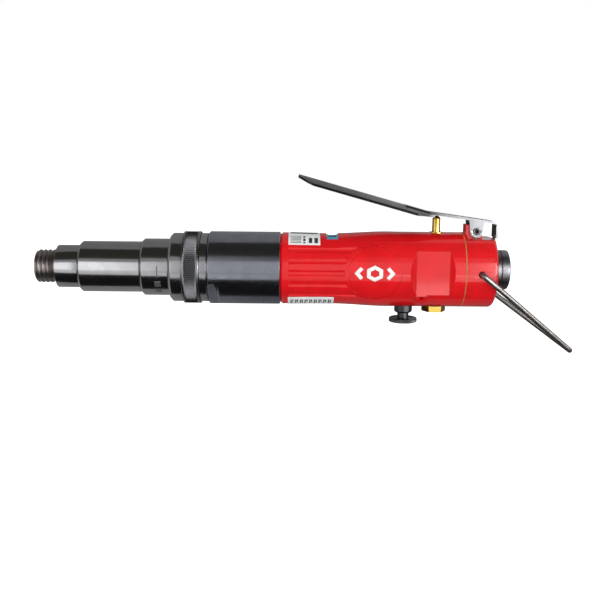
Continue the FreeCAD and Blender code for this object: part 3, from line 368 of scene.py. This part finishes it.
def turnedPiece(name, section, steps, shift, place, material, body, sharp=50):
    # revolves a closed section round x; shift(x, radius, turn) cuts threads and knurls into it
    points = []
    for x, radius in section:
        for j in range(steps):
            share = j / steps
            r = radius + shift(x, radius, share)
            angle = 2 * math.pi * share
            points.append(place @ Vector((x, r * math.cos(angle), r * math.sin(angle))))
    rows = len(section)
    faces = []
    for i in range(rows):
        nextRow = (i + 1) % rows
        for j in range(steps):
            nextStep = (j + 1) % steps
            faces.append((i * steps + j, nextRow * steps + j, nextRow * steps + nextStep, i * steps + nextStep))
    return addPiece(name, points, faces, material, body, sharp)


def threadDepth(x, share, pitch, crest, root):
    # 0 on a crest, 1 at the root of a helical thread; crest and root are shares of half a pitch
    phase = (x / pitch - share) % 1.0
    offset = abs(phase - 0.5) * 2
    return min(1.0, max(0.0, (offset - crest) / (root - crest)))


atOrigin = Matrix.Identity(4)


# threaded nose: helical thread, relief groove, smooth collar
nose = {"threadRadius": 8.65, "pitch": 2.4, "depth": 0.9, "crest": 0.25, "root": 0.94, "chamfer": 0.9,
        "threadLength": 9.7, "runout": 0.5, "reliefRadius": 7.9, "reliefEnd": 11.2, "bore": 7.0,
        "collarRadius": 11.15, "spigotRadius": 9.6, "ease": 0.35, "step": 0.1, "spokes": 192}


def makeNose():
    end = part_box("nose_piece")[1][0] / mm
    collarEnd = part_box("bit_tube")[0][0] / mm
    radius = nose["threadRadius"]
    thread = []
    count = int(nose["threadLength"] / nose["step"])
    for i in range(1, count):
        x = i * nose["step"]
        thread.append((x, min(radius, radius - nose["chamfer"] + x)))
    rear = eased([(nose["threadLength"], nose["reliefRadius"]), (nose["reliefEnd"], nose["reliefRadius"]),
                  (nose["reliefEnd"], nose["collarRadius"]), (collarEnd, nose["collarRadius"]),
                  (collarEnd, nose["spigotRadius"]), (end, nose["spigotRadius"]), (end, nose["bore"])],
                 nose["ease"])
    front = [(0.5, nose["bore"]), (0.1, nose["bore"] + 0.08), (0, nose["bore"] + 0.25),
             (0, radius - nose["chamfer"] - 0.1)]

    def shift(x, r, share):
        # the bore and everything behind the thread stay round
        if r < nose["reliefRadius"] - 0.3 or x > nose["threadLength"]:
            return 0.0
        fade = min(1.0, (nose["threadLength"] - x) / nose["runout"])
        cut = threadDepth(x, share, nose["pitch"], nose["crest"], nose["root"]) * nose["depth"]
        root = radius - cut * fade - (1 - fade) * (radius - nose["reliefRadius"])
        return min(0.0, root - r) if x > 0 else 0.0

    section = [(x * mm, r * mm) for x, r in front + thread + rear]
    piece = turnedPiece("threadedNose", section, nose["spokes"],
                        lambda x, r, share: shift(x / mm, r / mm, share) * mm,
                        atOrigin, finishes["blackened_steel"], "housing", 60)
    piece.data.materials.append(finishes["thread_oxide"])
    for polygon in piece.data.polygons:
        if polygon.center.x < (nose["reliefEnd"] - 0.2) * mm:
            polygon.material_index = 1
    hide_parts("nose_piece")


# adjusting ring: straight knurl between two smooth lips, with the key window through it
ring = {"teeth": 118, "depth": 0.45, "lip": 1.1, "window": 2.4, "samples": 6, "bore": 16.65, "edge": 0.35,
        "ease": 0.12, "crestDrop": 0.05, "knurlRun": 0.3, "rows": 8, "drillLength": 12, "drillReach": 18}


def makeRing():
    low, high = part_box("adjusting_ring")
    start, end, radius = low[0] / mm, high[0] / mm, high[2] / mm
    first = start + ring["lip"]
    last = end - ring["lip"]
    crest = radius - ring["crestDrop"]
    edge, ease, run = ring["edge"], ring["ease"], ring["knurlRun"]
    section = [(start, ring["bore"]), (start, radius - edge), (start + ease, radius - ease),
               (start + edge, radius), (first - ease, radius), (first, crest), (first + run, crest)]
    section += [(first + run + (last - first - 2 * run) * i / ring["rows"], crest)
                for i in range(1, ring["rows"])]
    section += [(last - run, crest), (last, crest), (last + ease, radius), (end - edge, radius),
                (end - ease, radius - ease), (end, radius - edge), (end, ring["bore"])]

    def knurl(x, r, share):
        if r < radius - 0.2 or x < first + 0.1 or x > last - 0.1:
            return 0.0
        groove = 1 - abs(2 * ((share * ring["teeth"]) % 1.0) - 1)
        return -groove * ring["depth"]

    piece = turnedPiece("knurledRing", [(x * mm, r * mm) for x, r in section], ring["teeth"] * ring["samples"],
                        lambda x, r, share: knurl(x / mm, r / mm, share) * mm,
                        atOrigin, finishes["knurl_oxide"], "ring_cover", 50)
    middle = (start + end) / 2
    drill = bpy.data.meshes.new("drill")
    work = bmesh.new()
    bmesh.ops.create_cone(work, cap_ends=True, segments=48, radius1=ring["window"] * mm,
                          radius2=ring["window"] * mm, depth=ring["drillLength"] * mm,
                          matrix=Matrix.Translation((middle * mm, ring["drillReach"] * mm, 0))
                          @ Matrix.Rotation(math.pi / 2, 4, "X"))
    work.to_mesh(drill)
    work.free()
    cutter = bpy.data.objects.new("drill", drill)
    bpy.context.scene.collection.objects.link(cutter)
    cut = piece.modifiers.new("window", "BOOLEAN")
    cut.object = cutter
    cut.operation = "DIFFERENCE"
    cut.solver = "EXACT"
    made = bpy.data.meshes.new_from_object(piece.evaluated_get(bpy.context.evaluated_depsgraph_get()))
    piece.modifiers.clear()
    made.name = "knurledRing"
    piece.data = made
    bpy.data.objects.remove(cutter)
    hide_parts("adjusting_ring")


# reversing knob: thin disc with a fine knurl on its rim
knob = {"teeth": 60, "depth": 0.28, "samples": 6, "edge": 0.35, "hub": 2.2, "dish": 0.25, "dishEdge": 0.3,
        "rimIn": 1.5, "rimTop": 1.2, "tip": 0.02}


def makeKnob():
    low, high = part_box("reverse_knob")
    radius = (high[0] - low[0]) / 2 / mm
    height = (high[2] - low[2]) / mm
    edge = knob["edge"]
    dish = knob["dish"]
    section = [(0, knob["tip"]), (0, knob["hub"]), (dish, knob["hub"] + knob["dishEdge"]),
               (dish, radius - knob["rimIn"]), (0, radius - knob["rimTop"]), (0, radius - edge),
               (edge * 0.3, radius - edge * 0.3), (edge, radius), (height / 2, radius), (height - edge, radius),
               (height - edge * 0.3, radius - edge * 0.3), (height, radius - edge), (height, knob["tip"])]

    def rim(x, r, share):
        if r < radius - knob["tip"]:
            return 0.0
        return -(1 - abs(2 * ((share * knob["teeth"]) % 1.0) - 1)) * knob["depth"]

    place = Matrix.Translation(((low[0] + high[0]) / 2, (low[1] + high[1]) / 2, low[2]))
    place = place @ Matrix.Rotation(-math.pi / 2, 4, "Y")
    section = [(x * mm, r * mm) for x, r in section]
    piece = turnedPiece("reversingKnob", section, knob["teeth"] * knob["samples"],
                        lambda x, r, share: rim(x / mm, r / mm, share) * mm,
                        place, finishes["dark_oxide"], "reverser", 50)
    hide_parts("reverse_knob")


makeNose()
makeRing()
makeKnob()
print("turned pieces ready")


# prints: thin ink laid on a surface, found by casting rays at the surface
ink = {"lift": 0.02 * mm, "thickness": 0.03 * mm, "cell": 0.7}


def surfaceOf(name):
    return BVHTree.FromObject(nodes[name], bpy.context.evaluated_depsgraph_get())


def fromSide(side):
    # drawn points are (x, z) in millimetres on the near (-1) or far (1) side
    def aim(u, v):
        return Vector((u * mm, side * 0.04, v * mm)), Vector((0, -side, 0))
    return aim


def fromRound(u, v):
    # drawn points are (x in millimetres, degrees up from the near side)
    angle = math.radians(v)
    outward = Vector((0, -math.cos(angle), math.sin(angle)))
    return Vector((u * mm, 0, 0)) + outward * 0.04, -outward


def cellsAlong(first, last, scale):
    span = math.hypot(last[0] - first[0], (last[1] - first[1]) * scale)
    return max(1, int(span / ink["cell"]))


def printPatches(name, patches, surface, aim, scale, material, body):
    # each patch is a four-cornered area, divided so that it follows the surface
    points = []
    faces = []
    for a, b, c, d in patches:
        across = max(cellsAlong(a, b, scale), cellsAlong(d, c, scale))
        up = max(cellsAlong(a, d, scale), cellsAlong(b, c, scale))
        start = len(points)
        for i in range(up + 1):
            for j in range(across + 1):
                s, t = j / across, i / up
                u = (a[0] * (1 - s) + b[0] * s) * (1 - t) + (d[0] * (1 - s) + c[0] * s) * t
                v = (a[1] * (1 - s) + b[1] * s) * (1 - t) + (d[1] * (1 - s) + c[1] * s) * t
                origin, direction = aim(u, v)
                hit = surface.ray_cast(origin, direction)[0]
                if hit is None:
                    raise RuntimeError(name + " misses its surface")
                points.append(hit - direction * ink["lift"])
        row = across + 1
        for i in range(up):
            for j in range(across):
                corner = start + i * row + j
                faces.append((corner, corner + 1, corner + row + 1, corner + row))
    piece = addPiece(name, points, faces, material, body)
    shell = piece.modifiers.new("thickness", "SOLIDIFY")
    shell.thickness = ink["thickness"]
    shell.offset = 0.0
    return piece


def strokePatches(line, width, closed=False, scale=1.0):
    # mitred band along a line of points; scale is the size of one unit up against one unit across
    flat = [Vector((u, v * scale)) for u, v in line]
    count = len(flat)
    sides = []
    for i, corner in enumerate(flat):
        before = flat[i - 1] if closed or i else corner * 2 - flat[1]
        after = flat[(i + 1) % count] if closed or i < count - 1 else corner * 2 - flat[i - 1]
        into = (corner - before).normalized()
        away = (after - corner).normalized()
        normal = Vector((-into.y, into.x)) + Vector((-away.y, away.x))
        normal = normal.normalized()
        reach = width / 2 / max(0.3, normal.dot(Vector((-into.y, into.x))))
        sides.append((corner + normal * reach, corner - normal * reach))
    patches = []
    for i in range(count if closed else count - 1):
        j = (i + 1) % count
        quad = (sides[i][0], sides[j][0], sides[j][1], sides[i][1])
        patches.append([(q.x, q.y / scale) for q in quad])
    return patches


def bar(x0, x1, v0, v1):
    return [(x0, v0), (x1, v0), (x1, v1), (x0, v1)]


# plain emblem in the ring groove: a hexagon between two chevrons
emblem = {"x": 175.8, "z": 0.1, "height": 7.4, "stroke": 1.9, "reach": 10.0, "arm": 3.4,
          "hexagon": 3.9, "wide": 0.92, "tall": 0.8}


def makeEmblem(side, name):
    half = emblem["height"] / 2 - emblem["stroke"] / 2
    turns = [math.radians(60 * i + 30) for i in range(6)]
    patches = strokePatches([(emblem["x"] + emblem["hexagon"] * math.cos(turn) * emblem["wide"],
                              emblem["z"] + emblem["hexagon"] * math.sin(turn) * emblem["tall"])
                             for turn in turns], emblem["stroke"], True)
    for way in (-1, 1):
        outer = emblem["x"] + way * (emblem["reach"] - emblem["stroke"] / 2)
        inner = emblem["x"] + way * (emblem["reach"] - emblem["arm"])
        chevron = [(inner, emblem["z"] + half), (outer, emblem["z"]), (inner, emblem["z"] - half)]
        patches += strokePatches(chevron, emblem["stroke"])
    printPatches(name, patches, surfaceOf("motor_housing"), fromSide(side), 1.0, whiteInk, "housing")


makeEmblem(-1, "emblemNear")
makeEmblem(1, "emblemFar")


# laser-etched direction mark on the stepped collar: an arrow and two bars
collarMark = {"x": 64.8, "line": 0.5, "top": 9.0, "low": -15.0, "half": 1.6,
              "bars": ((-22, -36), (-44, -53)), "barbWide": 0.9, "barbUp": 4.0}


def makeCollarMark():
    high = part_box("marked_collar")[1][2] / mm
    degree = math.radians(1) * high
    x = collarMark["x"]
    patches = strokePatches([(x, collarMark["top"]), (x, collarMark["low"])], collarMark["line"], False,
                            degree)
    wide = collarMark["barbWide"]
    low = collarMark["low"]
    up = low + collarMark["barbUp"]
    patches.append([(x - wide, up), (x - 0.26, up), (x - 0.26, low + 0.4), (x - 0.3, low + 0.2)])
    patches.append([(x + 0.26, up), (x + wide, up), (x + 0.3, low + 0.2), (x + 0.26, low + 0.4)])
    for upper, lower in collarMark["bars"]:
        patches.append(bar(x - collarMark["half"], x + collarMark["half"], lower, upper))
    printPatches("collarMark", patches, surfaceOf("marked_collar"), fromRound, degree, etchedInk, "housing")


makeCollarMark()


# label prints: plain blocks and rules, no lettering; x is in millimetres from the label's front end,
# and heights are degrees up from the near side
labelRadius = 18.7
topPrint = {"lines": 6, "linesFrom": 1.0, "linesTo": 6.6, "lineLow": 68, "lineHigh": 69.3, "lineStep": 3.4,
            "blocks": ((7.6, 8.7, 50, 53), (7.6, 8.7, 55, 62), (7.6, 8.7, 64, 69),
                       (10.4, 12.2, 51, 64), (13.3, 15.1, 51, 64)),
            "margin": 1.2, "rules": ((80, 92), (97, 98.6)), "stairs": 4, "stairsTo": 13.0, "stairsLow": 103,
            "stairsHigh": 105.5, "stairsStep": 2, "stairsRise": 6}
# entries are start, inset from the label's far end, low, high
bottomPrint = {"margin": 1.4, "pairs": 9, "pairStep": 2.42, "barWide": 0.6, "second": 0.9,
               "tall": (-68, -52), "short": -60, "shorten": 3,
               "rules": ((1.4, 1.4, -75, -73), (1.4, 5.0, -84, -80), (1.4, 8.0, -92, -88),
                         (11.0, 1.4, -120, -117), (11.0, 4.0, -112, -109), (11.0, 2.4, -105, -102)),
               "block": (1.4, 9.0, -120, -102)}


def topLabelPatches():
    look = topPrint
    low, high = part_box("top_label")
    x0, x1 = low[0] / mm, high[0] / mm
    patches = [bar(x0 + look["linesFrom"], x0 + look["linesTo"], look["lineLow"] - look["lineStep"] * i,
                   look["lineHigh"] - look["lineStep"] * i) for i in range(look["lines"])]
    patches += [bar(x0 + left, x0 + right, bottom, top) for left, right, bottom, top in look["blocks"]]
    patches += [bar(x0 + look["margin"], x1 - look["margin"], bottom, top) for bottom, top in look["rules"]]
    patches += [bar(x0 + look["margin"], x0 + look["stairsTo"] - look["stairsStep"] * i,
                    look["stairsLow"] + look["stairsRise"] * i, look["stairsHigh"] + look["stairsRise"] * i)
                for i in range(look["stairs"])]
    return patches


def bottomLabelPatches():
    look = bottomPrint
    low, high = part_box("bottom_label")
    x0, x1 = low[0] / mm, high[0] / mm
    bottom, top = look["tall"]
    patches = []
    for i in range(look["pairs"]):
        first = x0 + look["margin"] + look["pairStep"] * i
        second = first + look["second"]
        patches += [bar(first, first + look["barWide"], bottom, top),
                    bar(second, second + look["barWide"], look["short"] - i % 3 * look["shorten"], top)]
    patches += [bar(x0 + start, x1 - inset, below, above) for start, inset, below, above in look["rules"]]
    start, end, below, above = look["block"]
    return patches + [bar(x0 + start, x0 + end, below, above)]


def makeLabelPrints():
    degree = math.radians(1) * labelRadius
    for piece, label, patches in (("topLabelPrint", "top_label", topLabelPatches()),
                                  ("bottomLabelPrint", "bottom_label", bottomLabelPatches())):
        printPatches(piece, patches, surfaceOf(label), fromRound, degree, darkInk, "housing")


makeLabelPrints()
print("prints ready")


# studio: a light tent that only reflections see, and soft diffuse light from all round and the front
studio = {"white": 1.0, "diffuse": 0.68, "glossy": 0.42, "floorDepth": 0.30, "floorHalf": 4.0, "floorGlow": 1.0,
          "fillDistance": 0.62, "fillWidth": 1.5, "fillLow": -33, "fillHigh": 33, "fillRadiance": 1.36,
          "tentRadius": 0.27, "tentReach": 0.8, "cardSteps": 54, "cardStep": 4}
# each card: lowest and highest elevation on the front side in degrees, tint, and brightness along x
tentCards = [
    ("topCard", 41, 92, "#FFFBE6", ((0.0, 0.045), (0.2, 0.035))),
    ("upperCard", 26.5, 41, "#FFFFFF", ((0.0, 0.40), (0.05, 0.40), (0.13, 0.12), (0.30, 0.5))),
    ("mainCard", -9.5, 26.5, "#FFFFFF", ((0.0, 1.85), (0.0064, 1.85), (0.019, 0.85), (0.07, 0.62),
                                         (0.13, 0.62), (0.27, 0.8), (0.30, 2.6), (0.34, 9.0))),
    ("seamCard", -14, -9.5, "#FFFFFF", ((0.0, 1.4), (0.02, 0.6), (0.06, 0.45), (0.17, 0.5), (0.22, 3.0))),
    ("lowerCard", -29, -14, "#FFFFFF", ((0.0, 1.0), (0.136, 0.5), (0.30, 2.0))),
    ("tableCard", -92, -29, "#FFFFFF", ((0.0, 0.012),)),
    ("backTopCard", 94, 172, "#FFFFFF", ((0.0, 0.25), (0.13, 0.30), (0.21, 0.25), (0.26, 0.5), (0.32, 0.6))),
    ("backEdgeCard", 172, 188, "#FFFFFF", ((0.0, 0.05),)),
    ("backLowCard", 188, 268, "#FFFFFF", ((0.0, 0.32), (0.04, 0.32), (0.1, 0.16))),
]


def makeWorld():
    # white to the camera; what surfaces receive from it is set apart
    world = bpy.data.worlds.new("whiteTent")
    bpy.context.scene.world = world
    world.use_nodes = True
    tree = world.node_tree
    tree.nodes.clear()
    rays = addNode(tree, "ShaderNodeLightPath")
    glossy = mapped(tree, rays.outputs["Is Glossy Ray"], 0, 1, studio["diffuse"], studio["glossy"])
    seen = addNode(tree, "ShaderNodeMapRange", None, {
        "Value": rays.outputs["Is Camera Ray"], "From Min": 0.0, "From Max": 1.0,
        "To Min": glossy, "To Max": studio["white"]})
    sky = addNode(tree, "ShaderNodeBackground", None, {"Color": (1, 1, 1, 1), "Strength": seen.outputs[0]})
    addNode(tree, "ShaderNodeOutputWorld", None, {"Surface": sky.outputs[0]})
    world.cycles.sampling_method = "NONE"


def makeFloor():
    # matt white paint, with a fine mottle; the camera sees it as white as the tent
    half = studio["floorHalf"]
    mesh = bpy.data.meshes.new("floor")
    corners = [(-half, -half), (half, -half), (half, half), (-half, half)]
    mesh.from_pydata([(x, y, -studio["floorDepth"]) for x, y in corners], [], [(0, 1, 2, 3)])
    floor = bpy.data.objects.new("floor", mesh)
    bpy.context.scene.collection.objects.link(floor)
    material, tree, shader = startMaterial("mattWhiteTable", {
        "Roughness": 0.9, "Specular IOR Level": 0.1, "Emission Color": (1, 1, 1, 1)})
    rays = addNode(tree, "ShaderNodeLightPath")
    glow = mapped(tree, rays.outputs["Is Camera Ray"], 0, 1, 0, studio["floorGlow"])
    tree.links.new(glow, shader.inputs["Emission Strength"])
    paper = mapped(tree, noiseField(tree, 30 * mm), 0.3, 0.7, 0.5, 0.52)
    tree.links.new(paper, shader.inputs["Base Color"])
    mesh.materials.append(material)


def towards(elevation):
    # unit vector on the front side at an elevation in degrees
    angle = math.radians(elevation)
    return Vector((0, -math.cos(angle), math.sin(angle)))


def makeFill(centre):
    # a large soft light in front; its power follows from the radiance and the area
    low = studio["fillLow"]
    high = studio["fillHigh"]
    light = bpy.data.lights.new("frontFill", "AREA")
    light.shape = "RECTANGLE"
    light.size = studio["fillWidth"]
    light.size_y = 2 * studio["fillDistance"] * math.tan(math.radians((high - low) / 2))
    light.energy = studio["fillRadiance"] * math.pi * light.size * light.size_y
    direction = towards((low + high) / 2)
    holder = bpy.data.objects.new("frontFill", light)
    holder.location = centre + direction * studio["fillDistance"]
    holder.rotation_euler = direction.to_track_quat("Z", "Y").to_euler()
    bpy.context.scene.collection.objects.link(holder)
    holder.visible_camera = False
    holder.visible_glossy = False


def brightnessAt(levels, x):
    if x <= levels[0][0]:
        return levels[0][1]
    for (x0, b0), (x1, b1) in zip(levels, levels[1:]):
        if x <= x1:
            return b0 + (b1 - b0) * (x - x0) / (x1 - x0)
    return levels[-1][1]


def makeCard(name, low, high, tint, levels):
    # one curved strip of the tent, its brightness stored on its points
    along = studio["cardSteps"]
    around = max(2, int((high - low) / studio["cardStep"]))
    reach = studio["tentReach"]
    middle = view["aim"]
    points = []
    glow = []
    for i in range(around + 1):
        direction = towards(low + (high - low) * i / around) * studio["tentRadius"]
        for j in range(along + 1):
            x = middle - reach + 2 * reach * j / along
            points.append((x, direction.y, direction.z))
            glow.append(brightnessAt(levels, x))
    row = along + 1
    faces = [(i * row + j, i * row + j + 1, (i + 1) * row + j + 1, (i + 1) * row + j)
             for i in range(around) for j in range(along)]
    mesh = bpy.data.meshes.new(name)
    mesh.from_pydata(points, [], faces)
    levelsLayer = mesh.attributes.new("glow", "FLOAT", "POINT")
    levelsLayer.data.foreach_set("value", glow)
    material = bpy.data.materials.new(name + "Glow")
    material.use_nodes = True
    tree = material.node_tree
    tree.nodes.clear()
    level = addNode(tree, "ShaderNodeAttribute", {"attribute_name": "glow"})
    shine = addNode(tree, "ShaderNodeEmission", None, {"Color": linear(tint), "Strength": level.outputs["Fac"]})
    addNode(tree, "ShaderNodeOutputMaterial", None, {"Surface": shine.outputs[0]})
    mesh.materials.append(material)
    card = bpy.data.objects.new(name, mesh)
    bpy.context.scene.collection.objects.link(card)
    card.visible_camera = False
    card.visible_diffuse = False
    card.visible_shadow = False
    card.visible_transmission = False


view = {"distance": 0.449, "lens": 51.8, "sensor": 36, "near": 0.01, "far": 20, "aim": 0.136,
        "drop": 0.0148, "pitch": 9.9, "roll": -0.5}


def makeCamera():
    pitch = math.radians(view["pitch"])
    forward = Vector((0, math.cos(pitch), -math.sin(pitch)))
    up = Vector((0, math.sin(pitch), math.cos(pitch)))
    aim = Vector((view["aim"], 0, 0)) - up * view["drop"]
    right = forward.cross(up)
    turn = Matrix.Rotation(math.radians(view["roll"]), 3, forward)
    right = turn @ right
    up = turn @ up
    matrix = Matrix((right, up, -forward)).transposed().to_4x4()
    matrix.translation = aim - forward * view["distance"]
    data = bpy.data.cameras.new("camera")
    data.lens = view["lens"]
    data.sensor_width = view["sensor"]
    data.clip_start = view["near"]
    data.clip_end = view["far"]
    camera = bpy.data.objects.new("camera", data)
    camera.matrix_world = matrix
    bpy.context.scene.collection.objects.link(camera)
    bpy.context.scene.camera = camera


makeWorld()
makeFloor()
makeFill(Vector((view["aim"], 0, 0)))
for card in tentCards:
    makeCard(*card)
makeCamera()
bpy.context.scene.view_settings.view_transform = "Standard"
print("studio ready")
